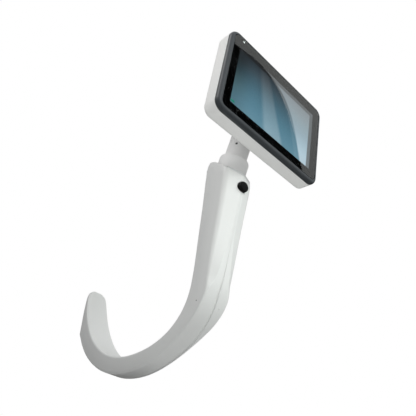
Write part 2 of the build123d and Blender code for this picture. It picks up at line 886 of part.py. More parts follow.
def handle_core():
    """Both core halves in one."""
    with BuildPart() as core:
        add(inset_loft(CORE_STATIONS, CORE_INSET))
        add(core_hollow(), mode=Mode.SUBTRACT)
        # top face under the collar, and the pocket for the swivel's lower end
        with BuildSketch(neck(-COLLAR_H - 0.02)):
            Rectangle(80, 80)
        extrude(amount=80, mode=Mode.SUBTRACT)
        with BuildSketch(neck(-13)):
            Circle(7.9)
        extrude(amount=-11.5, mode=Mode.SUBTRACT)
        # button bore with a wider pocket inside for its flange
        for start, radius, length in ((10, BUTTON_R + 0.08, -18), (26.1, 5.8, -7.9)):
            with BuildSketch(front(start)):
                with Locations((0, BUTTON_Z)):
                    Circle(radius)
            extrude(amount=length, mode=Mode.SUBTRACT)
        # wand outlet
        with BuildSketch(level(0, WAND[0][0], -112)):
            RectangleRounded(7.3, 3.5, 1.4)
        extrude(amount=-20, mode=Mode.SUBTRACT)
        # screw bores, then head recesses on the right: start, radius, length
        for start, radius, length in ((-20, 0.8, 40), (6.2, 1.8, 20)):
            with BuildSketch(side(start)):
                with core_places():
                    Circle(radius)
            extrude(amount=length, mode=Mode.SUBTRACT)
    return core.part


def core_half(core, hand):
    """One half of the core (hand: +1 right, -1 left)."""
    with BuildPart() as piece:
        add(core)
        with BuildSketch(side(0.02 * hand)):
            Rectangle(800, 800)
        extrude(amount=40 * hand, mode=Mode.INTERSECT)
    return piece


def core_screws():
    head_x, head_d = 6.2, 1.3
    return screw_set(
        core_places,
        head=(side(head_x), 1.6, head_d),
        shank=(side(-6.0), 0.76, 12.3),
        recess=(side(head_x + head_d), 1.8, 0.4, -0.6),
    )


def lock_button():
    shank_back, flange_back = 26.3, 27.4
    with BuildPart() as piece:
        with BuildSketch(front(shank_back)):
            with Locations((0, BUTTON_Z)):
                Circle(BUTTON_R)
        extrude(amount=shank_back - BUTTON_Y)
        fillet(piece.faces().sort_by(Axis.Y)[0].edges(), radius=0.9)
        # flange with a ring groove for the spring
        with BuildSketch(front(flange_back)):
            with Locations((0, BUTTON_Z)):
                Circle(5.4)
        extrude(amount=1.2)
        with BuildSketch(front(flange_back)):
            with Locations((0, BUTTON_Z)):
                Circle(3.3)
                Circle(1.6, mode=Mode.SUBTRACT)
        extrude(amount=1.6, mode=Mode.SUBTRACT)
    return piece


def button_spring():
    wire_r = 0.32
    with BuildPart() as piece:
        with BuildLine() as coil:
            Helix(
                pitch=1.42, height=7.3, radius=2.45,
                center=(0, 26.25 - Y_MID, BUTTON_Z + Z_LIFT), direction=(0, 1, 0),
            )
        with BuildSketch(Plane(origin=coil.line @ 0, z_dir=coil.line % 0)):
            Circle(wire_r)
        sweep()
    return piece


# =============================================================== camera wand
# centre line from the core to the camera, y and z
WAND = [
    (33.4, -112.5), (33.4, -118), (33.7, -127), (35.7, -136), (39.6, -144), (45.9, -151.3),
    (54.2, -158.0), (63.8, -163.4), (73.7, -167.2), (84.4, -169.9), (97.1, -171.3),
    (111.1, -170.2), (122.6, -167.2), (133.9, -162.2), (143.6, -155.8), (150.6, -149.2),
    (155.3, -143.4),
]
WAND_CABLE_R = 0.75


def wand_section():
    RectangleRounded(7.0, 3.2, 1.3)
    Circle(WAND_CABLE_R + 0.1, mode=Mode.SUBTRACT)


def cable_section():
    Circle(WAND_CABLE_R)


def along_wand(draw_section):
    """Sweep a section along the wand's centre line."""
    with BuildPart() as piece:
        with BuildLine(side(0)) as path:
            Spline(*WAND)
        with BuildSketch(Plane(origin=path.line @ 0, x_dir=(1, 0, 0), z_dir=path.line % 0)):
            draw_section()
        sweep()
    return piece


def camera_wand():
    return along_wand(wand_section)


def wand_cable():
    return along_wand(cable_section)


def camera_housing():
    back, length = -2.0, 6.4
    with BuildPart() as piece:
        with BuildSketch(camera(back)):
            RectangleRounded(9.6, 6.2, 1.4)
        extrude(amount=length)
        # lens and LED pockets
        with BuildSketch(camera(back + length)):
            Circle(1.9)
            with Locations((CAM_LED_X, 0), (-CAM_LED_X, 0)):
                Circle(0.85)
        extrude(amount=-2.2, mode=Mode.SUBTRACT)
    return piece


def camera_lens():
    with BuildPart() as piece:
        with BuildSketch(camera(2.2)):
            Circle(1.85)
        extrude(amount=2.5)
        fillet(piece.faces().sort_by(Axis.Y)[-1].edges(), radius=0.45)
    return piece


def camera_leds():
    with BuildPart() as piece:
        with BuildSketch(camera(2.25)):
            with Locations((CAM_LED_X, 0), (-CAM_LED_X, 0)):
                Circle(0.8)
        extrude(amount=2.1)
    return piece


# =============================================================== build and export
# each function is named after the file it fills
for build in (
    rear_shell, front_bezel, cover_glass, screen_mask, lcd_panel, lcd_backlight, status_led,
    main_board, board_screws, board_chips, cable_socket, charge_socket, socket_flap,
    power_button, power_switch, battery_pack, shell_screws,
    hinge_bracket, bracket_screws, tilt_pin, tilt_washers, neck_head,
    neck_tube, neck_set_screw, swivel_shaft, swivel_collar, swivel_bush, swivel_washer,
    swivel_clip, neck_cable,
    core_screws, lock_button, button_spring,
    camera_wand, wand_cable, camera_housing, camera_lens, camera_leds,
):
    keep(build(), build.__name__)

window_piece = tip_window()
keep(window_piece, "tip_window")
whole_sleeve = sleeve(window_piece.part)
whole_core = handle_core()
for side_name, side_sign in (("left", -1), ("right", 1)):
    keep(blade_shell(whole_sleeve, side_sign), f"blade_shell_{side_name}")
    keep(core_half(whole_core, side_sign), f"handle_core_{side_name}")
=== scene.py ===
"""
A handheld viewer: a screen on a neck, above a handle inside a two-part sleeve that ends in a
hooked blade.  x runs across it, z is up.  The screen faces -Y and the blade hooks towards +Y.
Lengths are millimetres from the screen centre until mm_point turns them into metres.
"Outer" is the outside of the hook (-Y on the handle, downwards on the blade), "inner" its inside.
"""
import json
import math
import random
from collections import namedtuple
from functools import lru_cache

import bmesh
import bpy
import numpy as np
from mathutils import Matrix, Vector
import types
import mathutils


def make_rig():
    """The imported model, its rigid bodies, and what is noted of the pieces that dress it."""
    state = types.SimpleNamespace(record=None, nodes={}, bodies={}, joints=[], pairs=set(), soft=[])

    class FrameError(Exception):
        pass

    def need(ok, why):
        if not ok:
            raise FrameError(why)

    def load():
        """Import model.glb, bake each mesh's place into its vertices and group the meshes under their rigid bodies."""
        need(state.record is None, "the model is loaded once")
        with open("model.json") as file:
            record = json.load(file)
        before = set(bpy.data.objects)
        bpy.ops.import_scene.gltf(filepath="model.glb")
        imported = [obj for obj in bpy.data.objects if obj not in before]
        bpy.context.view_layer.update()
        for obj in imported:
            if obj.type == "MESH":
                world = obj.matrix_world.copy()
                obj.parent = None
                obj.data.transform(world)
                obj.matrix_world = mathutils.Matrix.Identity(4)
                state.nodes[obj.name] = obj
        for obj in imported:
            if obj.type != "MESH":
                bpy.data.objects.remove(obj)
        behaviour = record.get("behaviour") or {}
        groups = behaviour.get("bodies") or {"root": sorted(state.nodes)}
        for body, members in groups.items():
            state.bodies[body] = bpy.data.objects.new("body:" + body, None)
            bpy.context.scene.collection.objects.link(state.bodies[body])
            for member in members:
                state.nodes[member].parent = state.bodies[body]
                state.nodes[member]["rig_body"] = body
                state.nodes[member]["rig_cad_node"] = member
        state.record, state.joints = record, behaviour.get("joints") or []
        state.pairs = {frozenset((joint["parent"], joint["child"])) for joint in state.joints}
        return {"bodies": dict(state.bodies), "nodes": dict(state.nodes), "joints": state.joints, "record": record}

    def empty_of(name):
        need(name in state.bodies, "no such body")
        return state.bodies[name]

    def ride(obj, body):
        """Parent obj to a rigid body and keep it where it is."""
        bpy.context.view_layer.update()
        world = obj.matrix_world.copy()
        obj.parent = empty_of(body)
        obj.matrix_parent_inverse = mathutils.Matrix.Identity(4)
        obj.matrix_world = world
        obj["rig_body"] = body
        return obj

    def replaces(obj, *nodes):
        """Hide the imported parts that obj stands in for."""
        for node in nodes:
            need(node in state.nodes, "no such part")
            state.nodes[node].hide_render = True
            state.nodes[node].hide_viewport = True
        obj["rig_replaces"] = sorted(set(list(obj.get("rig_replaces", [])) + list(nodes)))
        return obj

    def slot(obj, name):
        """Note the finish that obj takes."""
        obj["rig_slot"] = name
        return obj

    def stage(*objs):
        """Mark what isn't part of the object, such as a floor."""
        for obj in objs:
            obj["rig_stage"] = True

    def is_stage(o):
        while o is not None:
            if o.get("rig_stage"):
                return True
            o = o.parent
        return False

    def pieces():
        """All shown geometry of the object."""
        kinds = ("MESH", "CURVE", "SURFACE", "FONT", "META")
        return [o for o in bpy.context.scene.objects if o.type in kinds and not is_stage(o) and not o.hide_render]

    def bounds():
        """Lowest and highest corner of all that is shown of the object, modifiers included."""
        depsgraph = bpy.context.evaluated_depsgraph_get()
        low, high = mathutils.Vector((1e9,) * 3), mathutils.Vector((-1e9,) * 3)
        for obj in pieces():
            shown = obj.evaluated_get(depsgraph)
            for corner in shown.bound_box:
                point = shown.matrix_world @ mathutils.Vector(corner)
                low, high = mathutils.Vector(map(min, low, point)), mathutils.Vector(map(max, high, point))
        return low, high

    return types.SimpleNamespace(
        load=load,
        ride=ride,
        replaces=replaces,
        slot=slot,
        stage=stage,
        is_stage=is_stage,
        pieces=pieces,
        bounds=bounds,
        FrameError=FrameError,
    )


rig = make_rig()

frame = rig.load()
random.seed(7)
box0 = [list(map(float, b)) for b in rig.bounds()]

MM = 0.001
Y_MID = 86.3            # depth of the frame's origin behind the screen centre
Z_LIFT = 176.07         # height of the screen centre above the frame's origin
SCREEN_HALF_X = 40.5
SCREEN_HALF_Z = 25.5
SMOOTH_ANGLE = math.radians(32)


def mm_point(x, y, z):
    """millimetres from the screen centre to metres in the frame"""
    return Vector((x * MM, (y - Y_MID) * MM, (z + Z_LIFT) * MM))


def clamp(value):
    return min(max(value, 0.0), 1.0)


# ------------------------------------------------------------------ shader tools
class Shader:
    """an emptied node tree; inputs may be numbers, (r, g, b) colours or sockets to link"""

    def __init__(self, owner):
        owner.use_nodes = True
        self.tree = owner.node_tree
        self.tree.nodes.clear()

    def put(self, socket, value):
        if isinstance(value, bpy.types.NodeSocket):
            self.tree.links.new(value, socket)
        else:
            socket.default_value = (*value, 1) if socket.type == "RGBA" else value

    def add(self, kind, inputs=None, **settings):
        node = self.tree.nodes.new("ShaderNode" + kind)
        for name, value in settings.items():
            setattr(node, name, value)
        for key, value in (inputs or {}).items():
            self.put(node.inputs[key], value)
        return node

    def output(self, surface, kind="OutputMaterial"):
        self.add(kind, {0: surface})

    def noise(self, scale, detail=6.0, rough=0.6, stretch=None):
        place = self.add("TexCoord").outputs["Object"]
        if stretch:
            place = self.add("Mapping", {"Vector": place, "Scale": stretch}).outputs[0]
        inputs = {"Vector": place, "Scale": scale, "Detail": detail, "Roughness": rough}
        return self.add("TexNoise", inputs).outputs["Fac"]

    def remap(self, value, source, target=(0.0, 1.0), kind="LINEAR"):
        """value from the source range to the target range"""
        inputs = {"Value": value, "From Min": source[0], "From Max": source[1],
                  "To Min": target[0], "To Max": target[1]}
        return self.add("MapRange", inputs, interpolation_type=kind).outputs[0]

    def edge(self, value, start, end):
        """soft step from 0 at start to 1 at end"""
        return self.remap(value, (start, end), kind="SMOOTHSTEP")

    def calc(self, operation, first, second):
        return self.add("Math", {0: first, 1: second}, operation=operation).outputs[0]

    def mix(self, factor, first, second, mode="MIX"):
        inputs = {0: factor, 6: first, 7: second}      # colour sockets of the Mix node
        return self.add("Mix", inputs, data_type="RGBA", blend_type=mode).outputs[2]

    def mix_shader(self, factor, first, second):
        inputs = {0: factor, 1: first.outputs[0], 2: second.outputs[0]}
        return self.add("MixShader", inputs).outputs[0]

    def bump(self, height, strength, distance):
        inputs = {"Height": height, "Strength": strength, "Distance": distance}
        return self.add("Bump", inputs).outputs[0]


MATERIALS = {}


def new_shader(name):
    MATERIALS[name] = bpy.data.materials.new(name)
    return Shader(MATERIALS[name])


def scaled(color, factor):
    return tuple(channel * factor for channel in color)


# ------------------------------------------------------------------ plastics and metals
# name, colour, roughness, tint (depth of the darker blotches), bump, bump scale, specular,
# and where they differ from the default: coat, smudge (spread of the roughness)
PLASTICS = [
    ("shell_white", (0.865, 0.865, 0.85), 0.38, 0.02, 0.12, 2400, 0.45),
    ("neck_white", (0.88, 0.88, 0.875), 0.36, 0.02, 0.08, 2400, 0.45),
    ("sleeve_white", (0.755, 0.762, 0.752), 0.31, 0.012, 0.02, 2200, 0.5, 0.1, 0.02),
    ("bezel_grey", (0.050, 0.056, 0.062), 0.36, 0.15, 0.12, 3000, 0.45),
    ("mask_black", (0.003, 0.003, 0.0032), 0.6, 0.2, 0.0, 1000, 0.0),
    ("rubber_black", (0.006, 0.0063, 0.0066), 0.6, 0.3, 0.5, 2600, 0.2),
    ("core_grey", (0.62, 0.63, 0.63), 0.45, 0.03, 0.2, 2200, 0.5),
    ("cable_black", (0.012, 0.012, 0.013), 0.45, 0.3, 0.3, 1500, 0.5),
    ("chip_black", (0.014, 0.014, 0.016), 0.5, 0.3, 0.3, 2200, 0.5),
    ("bush_tan", (0.45, 0.34, 0.18), 0.45, 0.1, 0.2, 1500, 0.5),
    ("battery_wrap", (0.02, 0.07, 0.24), 0.3, 0.2, 0.1, 900, 0.5),
    ("led_white", (0.62, 0.66, 0.64), 0.2, 0.05, 0.02, 900, 0.5),
    ("mark_grey", (0.16, 0.16, 0.17), 0.5, 0.1, 0.2, 1800, 0.5),
]
# name, colour, roughness
METALS = [
    ("screw_black", (0.03, 0.03, 0.033), 0.4),
    ("steel", (0.56, 0.56, 0.58), 0.3),
    ("socket_metal", (0.66, 0.66, 0.68), 0.2),
]


def plastic(name, color, rough, tint, bump, bump_scale, specular, coat=0.0, smudge=0.05):
    shader = new_shader(name)
    blotches = shader.remap(shader.noise(scale=38, detail=5), (0.3, 0.7))
    smudges = shader.noise(scale=140, rough=0.7)
    grain = shader.noise(scale=bump_scale, detail=3, rough=0.5)
    bsdf = shader.add("BsdfPrincipled", {
        "Base Color": shader.mix(blotches, color, scaled(color, 1 - tint)),
        "Roughness": shader.remap(smudges, (0.3, 0.75), (rough - smudge, rough + smudge)),
        "Normal": shader.bump(grain, strength=bump, distance=0.00006),
        "Specular IOR Level": specular,
        "Coat Weight": coat,
        "Coat Roughness": 0.12,
    })
    shader.output(bsdf.outputs[0])


def metal(name, color, rough):
    shader = new_shader(name)
    streaks = shader.noise(scale=1.0, detail=5, stretch=(900, 40, 900))
    bsdf = shader.add("BsdfPrincipled", {
        "Base Color": shader.mix(shader.noise(scale=60, detail=4), color, scaled(color, 0.82)),
        "Roughness": shader.remap(streaks, (0.3, 0.7), (rough - 0.1, rough + 0.12)),
        "Normal": shader.bump(streaks, strength=0.1, distance=0.00003),
        "Metallic": 1.0,
    })
    shader.output(bsdf.outputs[0])


# ------------------------------------------------------------------ other materials
def board_material():
    """circuit board: green mask with a lighter grid of tracks"""
    shader = new_shader("board_green")
    tracks = shader.add("TexBrick", {
        "Vector": shader.add("TexCoord").outputs["Object"],
        "Scale": 160,
        "Mortar Size": 0.05,
        "Color1": (0.012, 0.09, 0.035),
        "Color2": (0.016, 0.11, 0.045),
        "Mortar": (0.05, 0.22, 0.08),
    })
    bsdf = shader.add("BsdfPrincipled", {
        "Base Color": tracks.outputs["Color"],
        "Roughness": shader.remap(shader.noise(scale=200), (0.3, 0.7), (0.25, 0.5)),
    })
    shader.output(bsdf.outputs[0])


def glass_material():
    """screen cover: refracts, and reflects only on its front faces"""
    ior = 1.5
    shader = new_shader("glass")
    clear = shader.add("BsdfRefraction", {"Color": (0.985, 0.992, 0.995),
                                          "Roughness": 0.0, "IOR": ior})
    smears = shader.noise(scale=60, rough=0.7)
    gloss = shader.add("BsdfGlossy", {
        "Color": (0.96, 1.0, 1.0),
        "Roughness": shader.remap(smears, (0.45, 0.8), (0.008, 0.03)),
    })
    backfacing = shader.add("NewGeometry").outputs["Backfacing"]
    front = shader.calc("SUBTRACT", 1.0, backfacing)
    fresnel = shader.add("Fresnel", {"IOR": ior}).outputs[0]
    shader.output(shader.mix_shader(shader.calc("MULTIPLY", fresnel, front), clear, gloss))


def clear_material(name, inputs, smears, source, target):
    """clear piece; the roughness in inputs only shows once its smears are unlinked"""
    shader = new_shader(name)
    bsdf = shader.add("BsdfPrincipled", inputs)
    shader.put(bsdf.inputs["Roughness"], shader.remap(shader.noise(**smears), source, target))
    shader.output(bsdf.outputs[0])


# ------------------------------------------------------------------ lit display
# height, then the 8-bit screen colour there on the left, in the middle and on the right; the right column includes a
# painted reflection of a bright panel in the cover glass
DISPLAY_ROWS = [
    (-24, (84, 118, 130), (104, 145, 162), (185, 206, 217)),
    (-18, (81, 114, 126), (97, 139, 157), (183, 207, 219)),
    (-10, (76, 104, 112), (89, 130, 147), (170, 194, 206)),
    (-2, (63, 85, 90), (81, 117, 133), (157, 178, 189)),
    (6, (47, 61, 66), (73, 101, 114), (152, 170, 178)),
    (14, (40, 46, 48), (66, 82, 91), (150, 162, 168)),
    (22, (39, 41, 44), (50, 58, 64), (143, 151, 156)),
]
# height, x of the curved left edge of the bright area, a painted reflection of a bright panel in the cover glass
REFLECTION_EDGE = [(-25.5, 29.8), (-20, 28.0), (-3, 21.6), (11.3, 13.0), (19.8, 3.0),
               (23.4, -5.6), (25.5, -14.0)]


def to_linear(color):
    return tuple((v / 255 / 12.92) if v <= 10 else ((v / 255 + 0.055) / 1.055) ** 2.4
                 for v in color)


def height_share(z):
    return (z + SCREEN_HALF_Z) / (2 * SCREEN_HALF_Z)


def height_ramp(shader, share, column, dim=0.0):
    """colour by height from one column of DISPLAY_ROWS, less dim in linear light"""
    node = shader.add("ValToRGB", {0: share})
    elements = node.color_ramp.elements
    for row in DISPLAY_ROWS[1:-1]:
        elements.new(height_share(row[0]))
    for element, row in zip(elements, DISPLAY_ROWS):
        element.position = height_share(row[0])
        element.color = (*(max(v - dim, 0.001) for v in to_linear(row[column])), 1)
    return node.outputs[0]


def display_material():
    """out-of-focus view: dark at the upper left and a pale slanting band; bright on the right, a painted reflection of
    a bright panel in the cover glass
    """
    shader = new_shader("display")
    edge, calc, mix = shader.edge, shader.calc, shader.mix
    range_x = (-SCREEN_HALF_X, SCREEN_HALF_X)
    range_z = (-SCREEN_HALF_Z, SCREEN_HALF_Z)
    place = shader.add("SeparateXYZ", {0: shader.add("TexCoord").outputs["Object"]})
    share_x = shader.remap(place.outputs[0], [v * MM for v in range_x])
    share_z = shader.remap(place.outputs[2], [(Z_LIFT + v) * MM for v in range_z])
    x = shader.remap(share_x, (0.0, 1.0), range_x)
    z = shader.remap(share_z, (0.0, 1.0), range_z)

    def window(value, low, high, blur=0.12):
        return calc("MULTIPLY", edge(value, low - blur, low + blur),
                    calc("SUBTRACT", 1.0, edge(value, high - blur, high + blur)))

    def box(x_low, x_high, z_low, z_high):
        return calc("MULTIPLY", window(x, x_low, x_high), window(z, z_low, z_high))

    color = mix(edge(x, start=-42, end=-20), height_ramp(shader, share_z, column=1),
                height_ramp(shader, share_z, column=2))

    # pale band; its two sides lean by different amounts, and it fades with height
    band_left = calc("ADD", x, calc("MULTIPLY", z, 0.227))
    band_right = calc("ADD", x, calc("MULTIPLY", z, 0.43))
    band = calc("MULTIPLY", edge(band_left, start=-16.5, end=-11.5),
                calc("SUBTRACT", 1.0, edge(band_right, start=-3.0, end=1.4)))
    gain = shader.remap(z, (-22, 24), (0.125, 0.010))
    warm_tint = (1.0, 0.98, 0.93)
    glow = shader.add("CombineColor",
                      {k: calc("MULTIPLY", gain, share) for k, share in enumerate(warm_tint)})
    color = mix(band, color, glow.outputs[0], "ADD")

    # bright area right of a curve, with a faint lighter rim left of it: a painted reflection of a bright panel in the
    # cover glass, with a lighter painted rim at its edge
    node = shader.add("FloatCurve", {"Value": share_z})
    curve = node.mapping.curves[0]
    points = [(height_share(height), (across + SCREEN_HALF_X) / (2 * SCREEN_HALF_X))
              for height, across in REFLECTION_EDGE]
    curve.points[0].location = points[0]
    curve.points[1].location = points[-1]
    for point in points[1:-1]:
        curve.points.new(*point)
    node.mapping.update()
    past_reflection_edge = calc("SUBTRACT", x, shader.remap(node.outputs[0], (0.0, 1.0), range_x))
    rim = calc("MULTIPLY", edge(past_reflection_edge, start=-6.5, end=-4.5), 0.5)
    color = mix(rim, color, (0.060, 0.062, 0.060), "ADD")
    color = mix(edge(past_reflection_edge, start=-0.7, end=0.7), color,
                height_ramp(shader, share_z, column=3, dim=0.055))

    # border along the top and the right; past the curve its lighter grey is a painted reflection of the bright panel
    border = calc("MAXIMUM", edge(x, start=36.6, end=37.4), edge(z, start=22.0, end=22.7))
    border_and_reflection_color = mix(edge(past_reflection_edge, start=-1.0, end=1.0),
                       (0.018, 0.019, 0.020), (0.085, 0.093, 0.097))
    color = mix(calc("MULTIPLY", border, 0.9), color, border_and_reflection_color)

    # green mark at the lower left: a block with a small nub on its right
    mark = calc("MAXIMUM", box(-39.9, -37.0, -24.2, -22.7), box(-37.0, -36.5, -23.8, -23.1))
    color = mix(mark, color, (0.012, 0.24, 0.15))

    grain = shader.remap(shader.noise(scale=700, detail=3), (0.3, 0.7), (0.97, 1.03))
    lit = shader.add("VectorMath", {0: color, 3: grain}, operation="SCALE")
    emission = shader.add("Emission", {"Color": lit.outputs[0], "Strength": 1.0})
    # the plain roughness only shows once its noise is unlinked
    bsdf = shader.add("BsdfPrincipled", {"Base Color": (0.002, 0.0025, 0.003),
                                         "Roughness": 0.6, "Specular IOR Level": 0.0})
    shader.put(bsdf.inputs["Roughness"],
               shader.remap(shader.noise(scale=300), (0.3, 0.7), (0.3, 0.5)))
    both = shader.add("AddShader", {0: emission.outputs[0], 1: bsdf.outputs[0]})
    shader.output(both.outputs[0])


for row in PLASTICS:
    plastic(*row)
for row in METALS:
    metal(*row)
board_material()
glass_material()
clear_material("window_clear",
               {"Base Color": (0.70, 0.88, 0.97), "Roughness": 0.06, "IOR": 1.45,
                "Transmission Weight": 0.45, "Coat Weight": 0.3},
               smears={"scale": 120, "detail": 5}, source=(0.35, 0.7), target=(0.03, 0.14))
clear_material("lens_glass",
               {"Base Color": (0.02, 0.02, 0.035), "Roughness": 0.04, "IOR": 1.6,
                "Coat Weight": 1.0},
               smears={"scale": 400, "detail": 3}, source=(0.3, 0.7), target=(0.02, 0.07))
display_material()

# ------------------------------------------------------------------ paint the CAD pieces
SPECIAL_MATERIALS = {
    "neck_head": "neck_white",
    "neck_tube": "neck_white",
    "swivel_collar": "neck_white",
    "neck_set_screw": "screw_black",
}
slot_of = {part["node"]: part["material_slot"] for part in frame["record"]["subparts"]}
for name, ob in frame["nodes"].items():
    ob.data.materials.clear()
    material = SPECIAL_MATERIALS.get(name, slot_of.get(name, "shell_white"))
    ob.data.materials.append(MATERIALS[material])
    for poly in ob.data.polygons:
        poly.use_smooth = True
    with bpy.context.temp_override(object=ob, active_object=ob, selected_objects=[ob],
                                   selected_editable_objects=[ob]):
        # a piece the operator refuses simply stays smooth all over
        try:
            bpy.ops.object.shade_smooth_by_angle(angle=SMOOTH_ANGLE)
        except Exception:
            pass

# ------------------------------------------------------------------ sleeve stations
# The sleeve's path runs down the handle, round the hook and up to the tip.  Columns:
# inner face y, z; outer face y, z; half widths: inner face, widest point;
# drop of the widest point below the outer face; half width of the outer face;
# corner radii: inner, side, outer
STATIONS = np.array([
    (49.2, -24, 20.0, -24, 12.7, 12.7, 5.8, 1.8, 4.4, 4.2, 3.0),
    (48.6, -33, 20.0, -33, 12.7, 12.7, 5.8, 1.8, 4.4, 4.2, 3.0),
    (47.8, -50, 20.2, -50, 12.5, 12.5, 5.7, 1.8, 4.2, 4.0, 3.0),
    (46.6, -62, 20.7, -62, 12.0, 12.0, 5.4, 1.8, 4.0, 3.8, 3.0),
    (45.9, -75, 21.7, -75, 11.3, 11.3, 4.7, 1.9, 3.8, 3.4, 2.6),
    (45.0, -90, 22.7, -90, 10.8, 10.8, 4.1, 2.0, 3.4, 3.0, 2.2),
    (43.6, -105, 23.4, -105, 10.5, 10.4, 3.9, 2.3, 3.0, 2.6, 1.8),
    (42.6, -118, 24.1, -118, 10.1, 9.9, 3.6, 3.0, 2.4, 2.0, 1.5),
    (42.4, -126, 25.0, -127.2, 9.8, 9.4, 2.6, 5.0, 2.0, 1.4, 1.1),
    (42.7, -133.5, 28.0, -138.0, 9.6, 8.8, 1.5, 7.4, 1.7, 1.0, 0.8),
    (44.6, -141.0, 34.0, -146.8, 9.4, 8.3, 1.2, 7.2, 1.4, 0.9, 0.8),
    (49.3, -148.6, 42.0, -153.9, 9.3, 7.6, 1.2, 6.6, 1.3, 0.9, 0.8),
    (56.7, -155.2, 51.5, -160.9, 9.3, 6.9, 1.2, 5.9, 1.2, 0.9, 0.8),
    (65.4, -159.9, 62.0, -167.0, 9.4, 6.5, 1.2, 5.6, 1.2, 0.9, 0.8),
    (74.7, -163.2, 72.5, -171.4, 9.5, 6.5, 1.2, 5.5, 1.2, 0.9, 0.8),
    (85.0, -165.3, 83.8, -174.5, 9.6, 6.5, 1.2, 5.4, 1.2, 0.9, 0.8),
    (97.0, -166.4, 97.3, -176.0, 9.8, 6.5, 1.2, 5.4, 1.2, 0.9, 0.8),
    (109.8, -165.0, 112.5, -175.3, 9.9, 6.5, 1.2, 5.4, 1.2, 0.9, 0.8),
    (120.0, -161.9, 125.5, -172.3, 10.1, 6.5, 1.2, 5.4, 1.2, 0.9, 0.8),
    (130.0, -157.0, 138.5, -167.0, 10.4, 6.6, 1.2, 5.5, 1.2, 0.9, 0.8),
    (139.0, -151.0, 149.5, -160.7, 10.5, 6.7, 1.2, 5.6, 1.2, 0.9, 0.8),
    (147.0, -143.8, 158.7, -153.1, 10.4, 6.9, 1.2, 5.8, 1.2, 0.9, 0.8),
    (153.3, -136.6, 166.2, -144.6, 10.2, 7.2, 1.2, 6.1, 1.2, 0.9, 0.8),
    (158.5, -129.8, 168.0, -133.5, 10.0, 7.8, 1.1, 6.9, 1.1, 0.8, 0.7),
    (163.2, -122.4, 169.6, -124.0, 9.7, 8.2, 1.0, 7.5, 0.9, 0.7, 0.6),
    (166.4, -116.0, 170.8, -116.0, 9.3, 8.4, 0.8, 7.9, 0.8, 0.6, 0.5),
    (168.2, -111.4, 171.5, -110.8, 8.3, 7.7, 0.7, 7.2, 0.7, 0.5, 0.45),
    (169.0, -109.0, 171.8, -108.4, 6.6, 6.1, 0.6, 5.6, 0.6, 0.45, 0.4),
    (169.4, -107.9, 171.9, -107.4, 4.6, 4.2, 0.5, 3.8, 0.5, 0.4, 0.35),
])
SMOOTHING = (6.0, 6.0, 5.0, 5.0, 7.0, 6.0, 3.2, 3.2, 6.0, 5.0, 5.0)     # width, per column
OUTER_Y, OUTER_Z, SIDE_HALF, DROP, OUTER_HALF = 2, 3, 5, 6, 7           # column numbers
CORNER_STATION = 22     # the outer face keeps a crisp corner here
PATH_SAMPLES = 1600

# Finer values where the handle turns into the blade, as (distance along the path, value).
# The chamfer beside the outer face runs out in a short S-bend.
OUTER_HALF_TURN = np.array([
    (0, 1.8), (60, 1.4), (67, 1.6), (72, 1.95), (77, 2.4), (82.5, 3.0), (87.5, 3.7),
    (92.5, 4.4), (97.5, 4.95), (100, 5.3), (102.5, 6.3), (105, 7.7), (107.5, 8.6), (110, 8.9),
    (115, 8.9), (120, 8.6), (125, 8.0), (130, 7.3), (137, 6.6), (148, 5.95), (160, 5.5)])
DROP_TURN = np.array([
    (90, 3.7), (95, 3.5), (99, 3.1), (102, 2.4), (104.5, 1.5), (107, 0.9), (110, 0.7),
    (118, 0.6), (132, 0.7), (148, 1.1), (160, 1.2)])
SIDE_HALF_TURN = np.array([
    (100, 9.6), (106, 9.4), (112, 9.4), (118, 9.2), (125, 8.6), (132, 7.9), (142, 7.1),
    (152, 6.6), (160, 6.5)])
TURN_END = 160.0
SOFTENING = ((-1.5, 0.12), (-0.75, 0.23), (0, 0.3), (0.75, 0.23), (1.5, 0.12))  # offset, weight

middle = (STATIONS[:, 0:2] + STATIONS[:, 2:4]) / 2
station_s = np.r_[0, np.cumsum(np.hypot(*np.diff(middle, axis=0).T))]
s_end = station_s[-1]
s_corner = station_s[CORNER_STATION]
path = np.linspace(0, s_end, PATH_SAMPLES)


def smoothed(values, width, keep_corner):
    """Gaussian smoothing along the path, narrowing towards its end and a kept corner"""
    result = np.empty_like(values)
    step = path[1] - path[0]
    last = len(path) - 1
    for k in range(len(path)):
        sigma = min(width, 0.45 * (path[-1] - path[k]) + 0.25)
        if keep_corner:
            sigma = min(sigma, 0.33 * abs(path[k] - s_corner) + 0.25)
        reach = int(3 * sigma / step) + 1
        index = np.arange(k - reach, k + reach + 1)
        weight = np.exp(-0.5 * ((index - k) * step / sigma) ** 2)
        near = values[np.clip(index, 0, last)]
        # past either end the values go on as a point reflection
        before, after = index < 0, index > last
        near[before] = 2 * values[0] - values[np.clip(-index[before], 0, last)]
        near[after] = 2 * values[-1] - values[np.clip(2 * last - index[after], 0, last)]
        result[k] = (weight * near).sum() / weight.sum()
    return result


def softened(s, table):
    return sum(weight * np.interp(s + offset, table[:, 0], table[:, 1])
               for offset, weight in SOFTENING)


sections = np.stack([
    smoothed(np.interp(path, station_s, STATIONS[:, k]), SMOOTHING[k], k in (OUTER_Y, OUTER_Z))
    for k in range(STATIONS.shape[1])], 1)
for column, table, start in ((OUTER_HALF, OUTER_HALF_TURN, 0.0), (DROP, DROP_TURN, 92.0),
                             (SIDE_HALF, SIDE_HALF_TURN, 101.0)):
    turn = (path >= start) & (path < TURN_END)
    sections[turn, column] = softened(path[turn], table)
path_depth = -(sections[:, 1] + sections[:, 3]) / 2

Section = namedtuple("Section", "inner outer depth outward inner_half side_half drop outer_half "
                                "inner_round side_round outer_round")


def section_at(s):
    """the section at a distance along the path; outward points from inner to outer face"""
    row = np.array([np.interp(s, path, column) for column in sections.T])
    inner, outer = row[0:2], row[2:4]
    depth = np.hypot(*(outer - inner))
    return Section(inner, outer, depth, (outer - inner) / depth, *row[4:])


def s_at_height(z):
    return float(np.interp(-z, path_depth, path))


